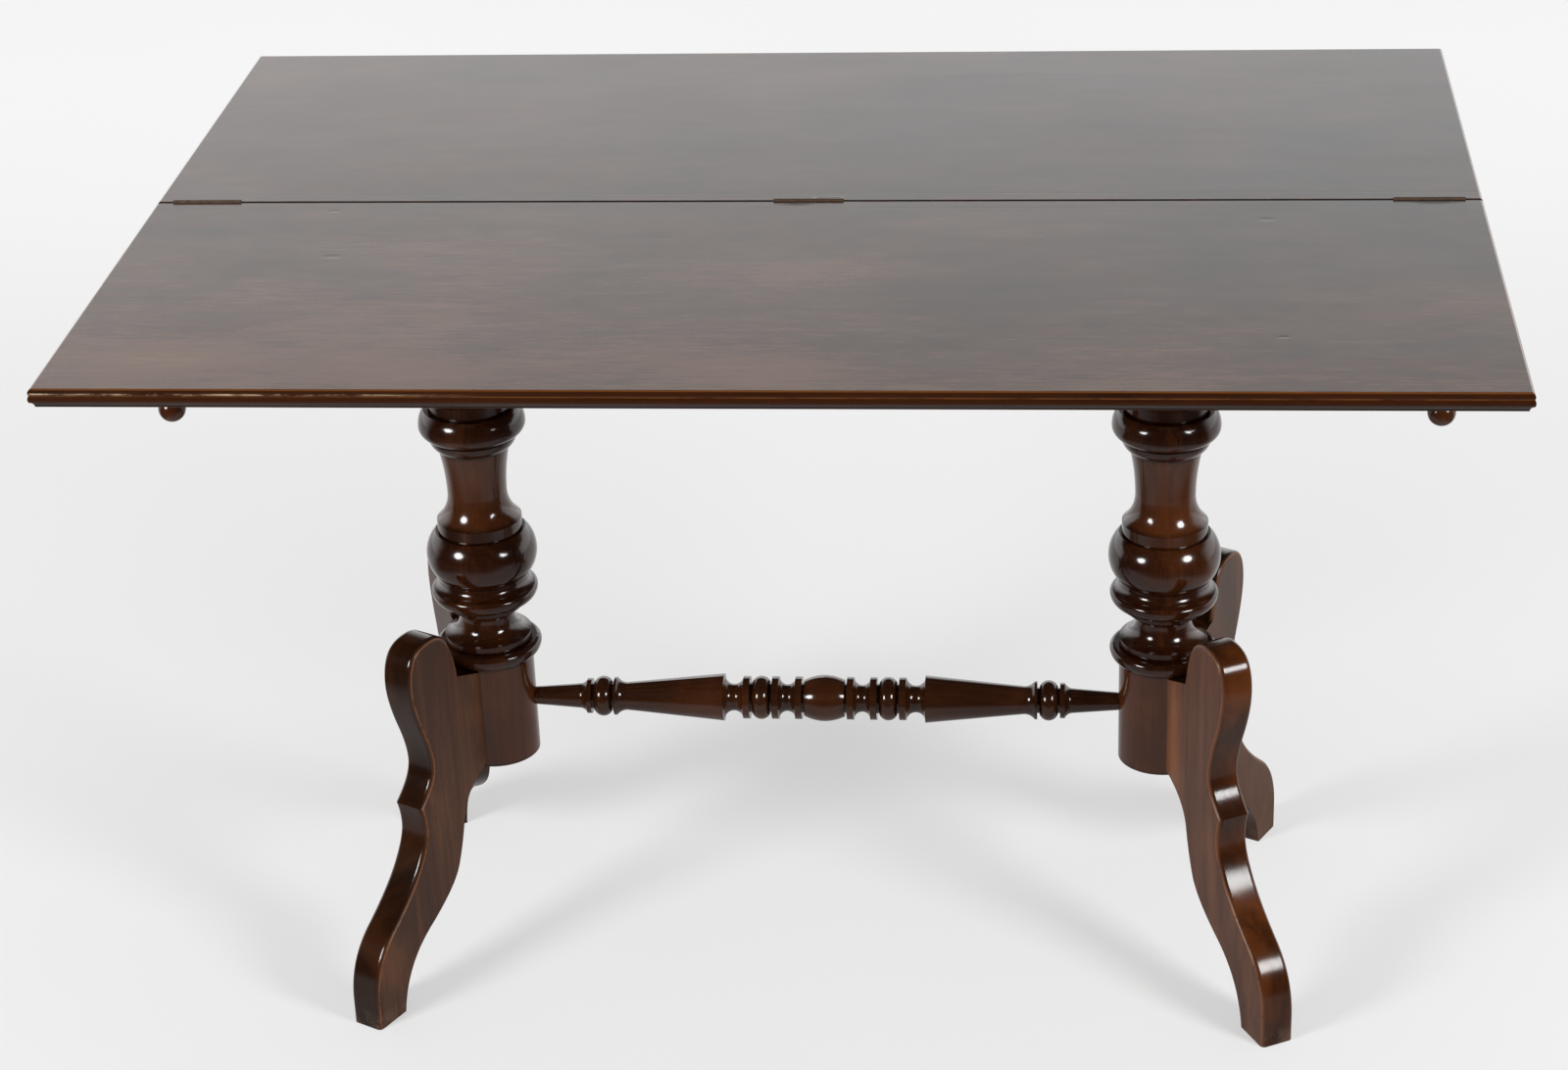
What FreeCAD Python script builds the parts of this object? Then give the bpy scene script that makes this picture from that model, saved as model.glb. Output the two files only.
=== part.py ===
import FreeCAD, Part
import math
import os

# Folding console table: two leaves hinged along their joint, sliding on a frame carried by two
# turned pedestals. Millimetres. Origin on the floor under the middle of the open top, +X along
# the joint, -Y towards the front, +Z up. The table is drawn open.

Vector = FreeCAD.Vector
ORIGIN = Vector(0, 0, 0)
ALONG_X = Vector(1, 0, 0)
ALONG_Y = Vector(0, 1, 0)
UP = Vector(0, 0, 1)
SIDES = {"left": -1, "right": 1}
ROWS = {"front": -1, "rear": 1}

# Top
TOP_WIDTH = 1208.0
LEAF_DEPTH = 429.0
TABLE_HEIGHT = 768.0
LEAF_THICKNESS = 17.0
JOINT_GAP = 1.6

# Edge moulding of the leaves: insets from the outermost line, depths from the top
ARRIS_INSET = 3.2
ROUND_INSET = 0.55
ROUND_DEPTH = 3.0
CREASE_INSET = 1.1
CREASE_DEPTH = 5.8
NOSE_DEPTH = 8.8
NOSING_INSET = 0.8
NOSING_DEPTH = 12.0
COVE_INSET = 4.4
COVE_HOLLOW = 0.6

# Hinges in the joint
HINGE_LENGTH = 64.0
HINGE_END_MARGIN = 16.0
HINGE_AXIS_RISE = 0.3
PLATE_THICKNESS = 1.2
WOOD_UNDER_PLATE = 4.0
KNUCKLE_RADIUS = 1.8
KNUCKLE_COUNT = 5
KNUCKLE_END_GAP = 0.4
KNUCKLE_CLEARANCE = 0.3
PIN_RADIUS = 0.8
PIN_CLEARANCE = 0.05
HINGE_SCREW_LENGTH = 14.0
HINGE_SCREW_RADIUS = 1.4
HINGE_SCREW_HEAD_RADIUS = 2.5
HINGE_SCREW_END_MARGIN = 11.0
HINGE_SCREW_COUNT = 3
SCREW_CLEARANCE = 0.05

# Frame under the top
END_OVERHANG = 31.0
FRAME_LENGTH = TOP_WIDTH - 2 * END_OVERHANG
FRAME_DEPTH = 406.0
FRAME_HEIGHT = 88.0
FRAME_TOP_GAP = 0.3
POST_SIZE = 32.0
RAIL_THICKNESS = 20.0
RAIL_SETBACK = 2.0
TENON_THICKNESS = 8.0
TENON_SHOULDER = 16.0
WOOD_BETWEEN_TENONS = 4.0
TENON_CLEARANCE = 0.05

# Ball drops under the corner posts
DROP_BALL_RADIUS = 12.3
DROP_NECK_RADIUS = 6.5
DROP_NECK_LENGTH = 8.4
DROP_SEAT_RADIUS = 9.0
DROP_DOWEL_RADIUS = 4.0
DROP_DOWEL_LENGTH = 11.0

# Guides and runners of the sliding top
GUIDE_SPACING = 480.0
GUIDE_WIDTH = 40.0
GUIDE_HEIGHT = 48.0
SLOT_HEIGHT = 12.0
SLOT_DEPTH = 14.0
SLOT_DROP = 20.0
RUNNER_WIDTH = 36.0
RUNNER_HEIGHT = 40.0
RUNNER_SIDE_GAP = 0.5
TONGUE_GAP = 0.3
TONGUE_END_GAP = 1.0
STOP_GAP = 0.5
RUNNER_SCREW_COUNT = 3
RUNNER_SCREW_RADIUS = 2.0
RUNNER_SCREW_HEAD_RADIUS = 4.0
RUNNER_SCREW_SEAT = 20.0
RUNNER_SCREW_BITE = 11.0
RUNNER_SCREW_END_MARGIN = 24.0
STUB_LENGTH = 8.0
STUB_SHOULDER = 8.0

# Pedestals
COLUMN_SPACING = 652.0
COLUMN_CLEARANCE = 196.2
BEARER_WIDTH = 112.0
BEARER_THICKNESS = 28.0
COLUMN_TENON_RADIUS = 18.0
WOOD_OVER_TENON = 4.0
ROUND_FIT = 0.05

# Turning of a column, from the plain cylinder at its foot to the disc under the bearer. The
# heights above the cylinder keep their proportions and fill the way up to the bearer.
BASE_RADIUS = 42.0
BASE_HEIGHT = 105.8
COLLAR_RADIUS = 51.0
COLLAR_HEIGHT = 12.0
COLLAR_EDGE_RADIUS = 46.5
COLLAR_EDGE_HEIGHT = 4.5
FLARE_RADIUS = 42.0
FLARE_EDGE = 6.0
COVE_RADIUS = 27.0
COVE_HEIGHT = 17.5
RING_SEAT_RADIUS = 31.0
RING_SEAT_HEIGHT = 11.2
RING_FILLET_RADIUS = 35.5
RING_FILLET_HEIGHT = 7.0
RING_FOOT_RADIUS = 38.5
RING_RADIUS = 51.2
RING_HEIGHT = 11.5
RING_EDGE_RADIUS = 48.8
RING_EDGE_HEIGHT = 4.0
RING_TOP_RADIUS = 40.5
RING_TOP_HEIGHT = 10.0
BULB_END_RADIUS = 43.0
BULB_RADIUS = 53.0
BULB_HEIGHT = 47.5
WAIST_RADIUS = 40.5
WAIST_EDGE = 10.0
WAIST_FLARE_HEIGHT = 27.0
NECK_RADIUS = 28.4
NECK_HEIGHT = 48.0
NECK_TOP_RADIUS = 34.0
OVOLO_FOOT_RADIUS = 34.8
OVOLO_RADIUS = 42.0
OVOLO_HEIGHT = 11.5
UPPER_BULB_RADIUS = 50.8
UPPER_BULB_HEIGHT = 10.5
UPPER_BULB_TOP_RADIUS = 45.0
UPPER_BULB_TOP_HEIGHT = 17.0
UPPER_FLARE_HEIGHT = 26.0
UPPER_NECK_HEIGHT = 25.5
CAPITAL_RADIUS = 49.0
CAPITAL_HEIGHT = 23.0
DISC_HEIGHT = 12.0
COLUMN_QUIRK_RADIUS = 38.5
COLUMN_QUIRK_WIDTH = 1.8
OVOLO_BEND = 0.75

# Turning of the stretcher, from its middle outwards. The lengths keep their proportions and fill
# the way to the column.
STRETCHER_RISE = 57.4
BARREL_RADIUS = 22.6
BARREL_END_RADIUS = 17.8
BARREL_HALF = 19.7
QUIRK_WIDTH = 2.2
QUIRK_RADIUS = 14.5
DISC_RADIUS = 20.8
DISC_WIDTH = 6.6
GROOVE_RADIUS = 13.0
GROOVE_WIDTH = 16.0
BEAD_RADIUS = 21.2
BEAD_END_RADIUS = 15.8
BEAD_WIDTH = 17.2
OUTER_GROOVE_WIDTH = 18.7
TAPER_RADIUS = 23.1
TAPER_TIP_RADIUS = 13.6
TAPER_LENGTH = 95.5
LIP_RADIUS = 18.6
LIP_LENGTH = 10.0
LIP_EDGE = 2.5
OUTER_QUIRK_RADIUS = 12.5
OUTER_BEAD_RADIUS = 19.6
OUTER_BEAD_END_RADIUS = 13.8
OUTER_BEAD_WIDTH = 17.6
CUFF_RADIUS = 17.2
CUFF_EDGE = 4.5
CUFF_LENGTH = 8.0
SHANK_RADIUS = 12.0
SHANK_TIP_RADIUS = 8.7
SHANK_LENGTH = 43.5
STRETCHER_TENON_RADIUS = 7.5
STRETCHER_TENON_LENGTH = 24.0

# Scroll legs: the reach is measured from the column axis, the other widths from the cylinder
LEG_ANGLE = 118.0
LEG_REACH = 231.0
LEG_THICKNESS = 33.0
LEG_EDGE_ROUND = 4.5
LEG_ROOT_RISE = 4.0
FOOT_DEPTH = 39.0
NOTCH_WIDTH = 28.0
NOTCH_GAP = 0.5
NOTCH_RISE = 10.0
HEAD_RISE = 66.5
HEAD_SWELL = 100.3
THROAT_WIDTH = 75.5
CUSP_WIDTH = 100.3
CUSP_RISE = 3.8
LEG_FIT = 0.05
DOWEL_RADIUS = 5.0
DOWEL_LENGTH = 50.0
DOWEL_DEPTH_IN_COLUMN = 20.0
DOWEL_END_MARGIN = 26.0

# Handles of the leg's curves, which the curves lean towards without touching
# Head: shares of the way from notch to swell, and of the head's rise
HEAD_HANDLES = [(0.036, 0.474), (0.249, 1.0), (0.783, 1.005), (1.0, 0.70)]
# Front, from swell to cusp: shares of the height between cusp and notch
SWELL_HANDLE = 1.08
THROAT_HANDLE = 0.452
CUSP_HANDLE = 0.17
# Shin, below the cusp: shares of the way from cusp to toe, and of the cusp's height
SHIN_HANDLES = [(-0.055, 0.936), (-0.055, 0.80), (0.272, 0.591), (1.0, 0.345), (1.0, 0.127)]
# Back, from the heel up: shares of the way from cylinder to heel, and of the cylinder's clearance
BACK_HANDLES = [(0.953, 0.242), (0.401, 0.478), (0.287, 0.680), (0.213, 0.947)]

# Levels and places that follow from the sizes above
leaf_underside = TABLE_HEIGHT - LEAF_THICKNESS
hinge_axis_height = TABLE_HEIGHT + HINGE_AXIS_RISE
hinge_x = (TOP_WIDTH - HINGE_LENGTH) / 2 - HINGE_END_MARGIN
plate_height = LEAF_THICKNESS + HINGE_AXIS_RISE - WOOD_UNDER_PLATE
frame_top = leaf_underside - FRAME_TOP_GAP
frame_bottom = frame_top - FRAME_HEIGHT
frame_middle = frame_bottom + FRAME_HEIGHT / 2
post_x = (FRAME_LENGTH - POST_SIZE) / 2
post_y = (FRAME_DEPTH - POST_SIZE) / 2
rail_x = FRAME_LENGTH / 2 - RAIL_SETBACK - RAIL_THICKNESS / 2
rail_y = FRAME_DEPTH / 2 - RAIL_SETBACK - RAIL_THICKNESS / 2
tenon_length = POST_SIZE - RAIL_SETBACK - (RAIL_THICKNESS + TENON_THICKNESS) / 2 - WOOD_BETWEEN_TENONS
inside_y = rail_y - RAIL_THICKNESS / 2
slide_travel = LEAF_DEPTH / 2
runner_length = 2 * inside_y - slide_travel - 2 * STOP_GAP
runner_back = inside_y - STOP_GAP
runner_front = runner_back - runner_length
guide_inside_x = (GUIDE_SPACING - GUIDE_WIDTH) / 2
slot_bottom = frame_top - SLOT_DROP - SLOT_HEIGHT
runner_outer_x = guide_inside_x - RUNNER_SIDE_GAP
runner_bottom = leaf_underside - RUNNER_HEIGHT
column_x = COLUMN_SPACING / 2
column_top = frame_bottom + BEARER_THICKNESS - WOOD_OVER_TENON
base_top = COLUMN_CLEARANCE + BASE_HEIGHT
notch_level = base_top - NOTCH_GAP
cusp_x = BASE_RADIUS + CUSP_WIDTH
cusp_height = COLUMN_CLEARANCE + CUSP_RISE
stretcher_height = COLUMN_CLEARANCE + STRETCHER_RISE


def between(low, high, share):
    return low + (high - low) * share


class Outline:
    """A closed flat outline of lines, arcs and smooth curves, drawn across and up."""

    def __init__(self, across, up):
        self.start = Vector(across, 0, up)
        self.end = self.start
        self.edges = []

    def add(self, curve, end):
        self.edges.append(curve.toShape())
        self.end = end

    def line(self, across, up):
        end = Vector(across, 0, up)
        self.add(Part.LineSegment(self.end, end), end)

    def arc(self, via, to):
        end = Vector(to[0], 0, to[1])
        self.add(Part.Arc(self.end, Vector(via[0], 0, via[1]), end), end)

    def curve(self, handles):
        """Smooth curve that leans towards its handles and ends at the last one."""
        poles = [self.end] + [Vector(across, 0, up) for across, up in handles]
        smooth = Part.BSplineCurve()
        smooth.buildFromPoles(poles, False, 2)
        self.add(smooth, poles[-1])

    def face(self):
        self.line(self.start.x, self.start.z)
        return Part.Face(Part.Wire(self.edges))


class Turning(Outline):
    """Half outline of a turned piece, up along its axis, drawn one member at a time."""

    def fill(self, members, top):
        """Draw members in order, stretching their heights alike so that they end at the top."""
        stretch = (top - self.end.z) / sum(member[1] for member in members)
        for draw, height, *radii in members:
            draw(self, height * stretch, *radii)

    def straight(self, height, end_radius):
        self.line(end_radius, self.end.z + height)

    def bow(self, height, middle_radius, end_radius):
        level = self.end.z
        self.arc((middle_radius, level + height / 2), (end_radius, level + height))

    def hollow(self, height, end_radius):
        """Concave member that runs along the axis at its slimmer end."""
        self.bow(height, min(self.end.x, end_radius) + self.bend(height, end_radius), end_radius)

    def swell(self, height, end_radius):
        """Rounded member that runs along the axis at its wider end."""
        self.bow(height, max(self.end.x, end_radius) - self.bend(height, end_radius), end_radius)

    def bend(self, height, end_radius):
        """How far an arc that starts along the axis has bent away from it at half its height."""
        width = abs(end_radius - self.end.x)
        arc_radius = (width ** 2 + height ** 2) / (2 * width)
        return arc_radius - math.sqrt(arc_radius ** 2 - (height / 2) ** 2)

    def ovolo(self, height, foot_radius, end_radius):
        self.straight(0, foot_radius)
        self.bow(height, between(foot_radius, end_radius, OVOLO_BEND), end_radius)

    def band(self, height, radius, next_radius):
        """Straight member with a step at either end."""
        self.straight(0, radius)
        self.straight(height, radius)
        self.straight(0, next_radius)

    def solid(self):
        return self.face().revolve(ORIGIN, UP, 360)


def box(first, second):
    """Box between two opposite corners, given in any order."""
    low = Vector(min(first.x, second.x), min(first.y, second.y), min(first.z, second.z))
    size = Vector(abs(first.x - second.x), abs(first.y - second.y), abs(first.z - second.z))
    return Part.makeBox(size.x, size.y, size.z, low)


def middle_box(centre, size):
    return box(centre - size * 0.5, centre + size * 0.5)


def rod(radius, start, length, direction):
    return Part.makeCylinder(radius, length, start, direction)


def spread(count, length):
    """Places along a length, evenly spaced about its middle, the outer ones at its ends."""
    step = length / (count - 1)
    return [index * step - length / 2 for index in range(count)]


def moved(shape, place):
    copy = shape.copy()
    copy.translate(place)
    return copy


def rotated(shape, axis, degrees):
    copy = shape.copy()
    copy.rotate(ORIGIN, axis, degrees)
    return copy


def save(name, *solids):
    shape = solids[0] if len(solids) == 1 else Part.makeCompound(list(solids))
    shape.exportStep("parts/" + name + ".step")


# Screws: the face of the head is at the origin and the point is along +Z

def wood_screw(length, radius, head_radius):
    outline = Turning(0, 0)
    outline.line(head_radius, 0)
    outline.line(radius, head_radius - radius)
    outline.line(radius, length - 2 * radius)
    outline.line(0, length)
    return outline.solid()


def screw_hole(length, radius, head_radius):
    gap = SCREW_CLEARANCE
    return wood_screw(length + gap, radius + gap, head_radius + gap)


# Leaves

def moulding_points(half_width, side):
    """Points of the moulded edge on one side, from the top arris down to the underside."""
    hollow_inset = (NOSING_INSET + COVE_INSET) / 2 + COVE_HOLLOW
    hollow_depth = (NOSING_DEPTH + LEAF_THICKNESS) / 2 - COVE_HOLLOW
    insets = [ARRIS_INSET, ROUND_INSET, CREASE_INSET, 0, NOSING_INSET, hollow_inset, COVE_INSET]
    depths = [0, ROUND_DEPTH, CREASE_DEPTH, NOSE_DEPTH, NOSING_DEPTH, hollow_depth, LEAF_THICKNESS]
    return [(side * (half_width - inset), -depth) for inset, depth in zip(insets, depths)]


def leaf_section(half_width, left_is_moulded):
    """Section of a leaf, moulded on the right side and moulded or square on the left."""
    arris, rounding, crease, nose, nosing, hollow, cove = moulding_points(half_width, 1)
    outline = Outline(0, 0)
    outline.line(*arris)
    outline.arc(rounding, crease)
    outline.arc(nose, nosing)
    outline.arc(hollow, cove)
    if left_is_moulded:
        arris, rounding, crease, nose, nosing, hollow, cove = moulding_points(half_width, -1)
        outline.line(*cove)
        outline.arc(hollow, nosing)
        outline.arc(nose, crease)
        outline.arc(rounding, arris)
    else:
        outline.line(-half_width, -LEAF_THICKNESS)
        outline.line(-half_width, 0)
    return outline.face()


def leaf_blank():
    """A leaf moulded at both ends and along its +Y side, square along the joint."""
    depth = LEAF_DEPTH - JOINT_GAP / 2
    joint_edge = Vector(0, JOINT_GAP / 2, TABLE_HEIGHT)
    ends = moved(leaf_section(TOP_WIDTH / 2, True), joint_edge).extrude(ALONG_Y * 2 * depth)
    side_section = rotated(leaf_section(depth / 2, False), UP, 90)
    side_start = joint_edge + Vector(-TOP_WIDTH, depth / 2, 0)
    side = moved(side_section, side_start).extrude(ALONG_X * 2 * TOP_WIDTH)
    return ends.common(side).Solids[0]


# Hinges, drawn about their axis on its +Y side

def hinge_screws(maker):
    screw = maker(HINGE_SCREW_LENGTH, HINGE_SCREW_RADIUS, HINGE_SCREW_HEAD_RADIUS)
    lying = rotated(screw, ALONG_X, -90)
    height = -(plate_height + KNUCKLE_RADIUS) / 2
    places = spread(HINGE_SCREW_COUNT, HINGE_LENGTH - 2 * HINGE_SCREW_END_MARGIN)
    return [moved(lying, Vector(x, JOINT_GAP / 2, height)) for x in places]


def hinge_seat():
    """Wood cut away in a leaf for one hinge."""
    half = (HINGE_LENGTH + KNUCKLE_END_GAP) / 2
    groove = rod(KNUCKLE_RADIUS + KNUCKLE_CLEARANCE, ALONG_X * -half, 2 * half, ALONG_X)
    recess = box(Vector(-half, -JOINT_GAP, -plate_height),
                 Vector(half, JOINT_GAP / 2 + PLATE_THICKNESS, KNUCKLE_RADIUS))
    return groove.fuse([recess] + hinge_screws(screw_hole))


def hinge_plate(first_knuckle):
    """One plate, flush with the top, with every second knuckle and room for those of the other plate."""
    step = HINGE_LENGTH / KNUCKLE_COUNT
    plate = box(Vector(-HINGE_LENGTH / 2, JOINT_GAP / 2, -plate_height),
                Vector(HINGE_LENGTH / 2, JOINT_GAP / 2 + PLATE_THICKNESS, -HINGE_AXIS_RISE))
    for index in range(KNUCKLE_COUNT):
        start = index * step - HINGE_LENGTH / 2
        if index % 2 == first_knuckle:
            inner_start = ALONG_X * (start + KNUCKLE_END_GAP / 2)
            plate = plate.fuse(rod(KNUCKLE_RADIUS, inner_start, step - KNUCKLE_END_GAP, ALONG_X))
        else:
            plate = plate.cut(rod(KNUCKLE_RADIUS + KNUCKLE_CLEARANCE, ALONG_X * start, step, ALONG_X))
    bore = rod(PIN_RADIUS + PIN_CLEARANCE, ALONG_X * -HINGE_LENGTH, 2 * HINGE_LENGTH, ALONG_X)
    return plate.cut([bore] + hinge_screws(screw_hole)).Solids[0]


def at_hinges(shape, row):
    """Copies of a hinge shape at the three hinges, facing the front or the rear leaf."""
    facing = shape if row == "rear" else rotated(shape, UP, 180)
    return [moved(facing, Vector(x, 0, hinge_axis_height)) for x in (-hinge_x, 0, hinge_x)]


def make_leaves():
    blank = leaf_blank()
    seat = hinge_seat()
    rear_cuts = at_hinges(seat, "rear") + at_runner_screws(runner_screw(screw_hole))
    save("rear_leaf", blank.cut(rear_cuts).Solids[0])
    save("front_leaf", rotated(blank, UP, 180).cut(at_hinges(seat, "front")).Solids[0])


def make_hinges():
    pin = rod(PIN_RADIUS, ALONG_X * (-HINGE_LENGTH / 2), HINGE_LENGTH, ALONG_X)
    save("hinge_pins", *at_hinges(pin, "front"))
    for first_knuckle, row in enumerate(("rear", "front")):
        save(row + "_hinge_plates", *at_hinges(hinge_plate(first_knuckle), row))
        screws = hinge_screws(wood_screw)
        save(row + "_hinge_screws", *[copy for screw in screws for copy in at_hinges(screw, row)])


# Frame

def tenoned_rail(length, clearance):
    """Rail along X with a tenon at each end, or with a clearance the shape of its mortises."""
    centre = Vector(0, 0, frame_middle)
    body = middle_box(centre, Vector(length, RAIL_THICKNESS, FRAME_HEIGHT))
    tenons = Vector(length + 2 * tenon_length, TENON_THICKNESS, FRAME_HEIGHT - 2 * TENON_SHOULDER)
    room = Vector(clearance, clearance, clearance) * 2
    return body.fuse(middle_box(centre, tenons + room))


def rails(clearance):
    """The four rails by name."""
    long_rail = tenoned_rail(FRAME_LENGTH - 2 * POST_SIZE, clearance)
    short_rail = rotated(tenoned_rail(FRAME_DEPTH - 2 * POST_SIZE, clearance), UP, 90)
    named = {row + "_rail": moved(long_rail, ALONG_Y * rail_y * sign) for row, sign in ROWS.items()}
    for side, sign in SIDES.items():
        named[side + "_end_rail"] = moved(short_rail, ALONG_X * rail_x * sign)
    return named


def ball_drop():
    """Turned drop: a ball on a short neck, seated at height zero, with a dowel above."""
    ball_rise = math.sqrt(DROP_BALL_RADIUS ** 2 - DROP_NECK_RADIUS ** 2)
    ball_middle = -DROP_NECK_LENGTH - ball_rise
    outline = Turning(0, DROP_DOWEL_LENGTH)
    outline.line(DROP_DOWEL_RADIUS, DROP_DOWEL_LENGTH)
    outline.line(DROP_DOWEL_RADIUS, 0)
    outline.line(DROP_SEAT_RADIUS, 0)
    outline.hollow(-DROP_NECK_LENGTH, DROP_NECK_RADIUS)
    outline.arc((DROP_BALL_RADIUS, ball_middle), (0, ball_middle - DROP_BALL_RADIUS))
    return outline.solid()


def make_frame():
    mortises = list(rails(TENON_CLEARANCE).values())
    stub_mortises = [bar(side, TENON_CLEARANCE) for bar in (column_bearer, guide_bearer) for side in SIDES]
    for name, rail in rails(0).items():
        save(name, rail.cut(stub_mortises).Solids[0])
    drop = ball_drop()
    for row, row_sign in ROWS.items():
        for side, side_sign in SIDES.items():
            foot = Vector(side_sign * post_x, row_sign * post_y, frame_bottom)
            post = middle_box(foot + UP * (FRAME_HEIGHT / 2), Vector(POST_SIZE, POST_SIZE, FRAME_HEIGHT))
            socket = rod(DROP_DOWEL_RADIUS + ROUND_FIT, foot, DROP_DOWEL_LENGTH + ROUND_FIT, UP)
            save(row + "_" + side + "_post", post.cut(mortises + [socket]).Solids[0])
            save(row + "_" + side + "_drop", moved(drop, foot))


# Bearers across the frame

def cross_bar(x, width, low, high, clearance):
    """Bar between the front and rear rails with a stub tenon at each end."""
    reach = inside_y + STUB_LENGTH + clearance
    trim = STUB_SHOULDER - clearance
    body = box(Vector(x - width / 2, -inside_y, low), Vector(x + width / 2, inside_y, high))
    stubs = box(Vector(x - width / 2 + trim, -reach, low + trim),
                Vector(x + width / 2 - trim, reach, high - trim))
    return body.fuse(stubs).removeSplitter()


def column_bearer(side, clearance):
    x = SIDES[side] * column_x
    return cross_bar(x, BEARER_WIDTH, frame_bottom, frame_bottom + BEARER_THICKNESS, clearance)


def guide_bearer(side, clearance):
    x = SIDES[side] * GUIDE_SPACING / 2
    return cross_bar(x, GUIDE_WIDTH, frame_top - GUIDE_HEIGHT, frame_top, clearance)


def make_bearers():
    for side, sign in SIDES.items():
        socket_foot = Vector(sign * column_x, 0, frame_bottom)
        socket = rod(COLUMN_TENON_RADIUS + ROUND_FIT, socket_foot, column_top - frame_bottom + ROUND_FIT, UP)
        save(side + "_column_bearer", column_bearer(side, 0).cut(socket))
        slot = box(Vector(sign * guide_inside_x, -inside_y, slot_bottom),
                   Vector(sign * (guide_inside_x + SLOT_DEPTH), inside_y, slot_bottom + SLOT_HEIGHT))
        save(side + "_guide_bearer", guide_bearer(side, 0).cut(slot))


# Runners under the rear leaf

def runner_screw(maker):
    length = RUNNER_HEIGHT - RUNNER_SCREW_SEAT + RUNNER_SCREW_BITE
    return maker(length, RUNNER_SCREW_RADIUS, RUNNER_SCREW_HEAD_RADIUS)


def at_runner_screws(shape):
    """Copies of a shape at the heads of the runner screws."""
    x = runner_outer_x - RUNNER_WIDTH / 2
    height = runner_bottom + RUNNER_SCREW_SEAT
    middle_y = (runner_front + runner_back) / 2
    places = spread(RUNNER_SCREW_COUNT, runner_length - 2 * RUNNER_SCREW_END_MARGIN)
    return [moved(shape, Vector(sign * x, middle_y + y, height)) for sign in SIDES.values() for y in places]


def runner(sign):
    """Runner with its tongue in the slot of the guide beside it."""
    body = box(Vector(sign * runner_outer_x, runner_front, runner_bottom),
               Vector(sign * (runner_outer_x - RUNNER_WIDTH), runner_back, leaf_underside))
    tip = guide_inside_x + SLOT_DEPTH - TONGUE_END_GAP
    tongue = box(Vector(sign * runner_outer_x, runner_front, slot_bottom),
                 Vector(sign * tip, runner_back, slot_bottom + SLOT_HEIGHT - TONGUE_GAP))
    pocket_foot = UP * -RUNNER_SCREW_SEAT
    pocket = rod(RUNNER_SCREW_HEAD_RADIUS + SCREW_CLEARANCE, pocket_foot, RUNNER_SCREW_SEAT, UP)
    hole = runner_screw(screw_hole).fuse(pocket)
    return body.fuse(tongue).removeSplitter().cut(at_runner_screws(hole)).Solids[0]


def make_runners():
    for side, sign in SIDES.items():
        save(side + "_runner", runner(sign))
    save("runner_screws", *at_runner_screws(runner_screw(wood_screw)))


# Pedestal, drawn with the column axis on Z and the stretcher towards +X

def column_turning():
    members = [(Turning.swell, COLLAR_HEIGHT, COLLAR_RADIUS),
               (Turning.swell, COLLAR_EDGE_HEIGHT, COLLAR_EDGE_RADIUS),
               (Turning.band, COLUMN_QUIRK_WIDTH, COLUMN_QUIRK_RADIUS, FLARE_RADIUS),
               (Turning.straight, FLARE_EDGE, FLARE_RADIUS),
               (Turning.hollow, COVE_HEIGHT, COVE_RADIUS),
               (Turning.hollow, RING_SEAT_HEIGHT, RING_SEAT_RADIUS),
               (Turning.band, RING_FILLET_HEIGHT, RING_FILLET_RADIUS, RING_FOOT_RADIUS),
               (Turning.swell, RING_HEIGHT, RING_RADIUS),
               (Turning.swell, RING_EDGE_HEIGHT, RING_EDGE_RADIUS),
               (Turning.hollow, RING_TOP_HEIGHT, RING_TOP_RADIUS),
               (Turning.band, COLUMN_QUIRK_WIDTH, COLUMN_QUIRK_RADIUS, BULB_END_RADIUS),
               (Turning.bow, BULB_HEIGHT, BULB_RADIUS, BULB_END_RADIUS),
               (Turning.band, COLUMN_QUIRK_WIDTH, COLUMN_QUIRK_RADIUS, WAIST_RADIUS),
               (Turning.straight, WAIST_EDGE, WAIST_RADIUS),
               (Turning.hollow, WAIST_FLARE_HEIGHT, NECK_RADIUS),
               (Turning.hollow, NECK_HEIGHT, NECK_TOP_RADIUS),
               (Turning.ovolo, OVOLO_HEIGHT, OVOLO_FOOT_RADIUS, OVOLO_RADIUS),
               (Turning.band, COLUMN_QUIRK_WIDTH, COLUMN_QUIRK_RADIUS, OVOLO_RADIUS),
               (Turning.swell, UPPER_BULB_HEIGHT, UPPER_BULB_RADIUS),
               (Turning.swell, UPPER_BULB_TOP_HEIGHT, UPPER_BULB_TOP_RADIUS),
               (Turning.band, COLUMN_QUIRK_WIDTH, COLUMN_QUIRK_RADIUS, WAIST_RADIUS),
               (Turning.straight, WAIST_EDGE, WAIST_RADIUS),
               (Turning.hollow, UPPER_FLARE_HEIGHT, NECK_RADIUS),
               (Turning.hollow, UPPER_NECK_HEIGHT, NECK_TOP_RADIUS),
               (Turning.ovolo, CAPITAL_HEIGHT, OVOLO_FOOT_RADIUS, CAPITAL_RADIUS),
               (Turning.straight, DISC_HEIGHT, CAPITAL_RADIUS)]
    outline = Turning(0, COLUMN_CLEARANCE)
    outline.line(BASE_RADIUS, COLUMN_CLEARANCE)
    outline.line(BASE_RADIUS, base_top)
    outline.fill(members, frame_bottom)
    outline.line(COLUMN_TENON_RADIUS, frame_bottom)
    outline.line(COLUMN_TENON_RADIUS, column_top)
    outline.line(0, column_top)
    return outline.solid()


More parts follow.
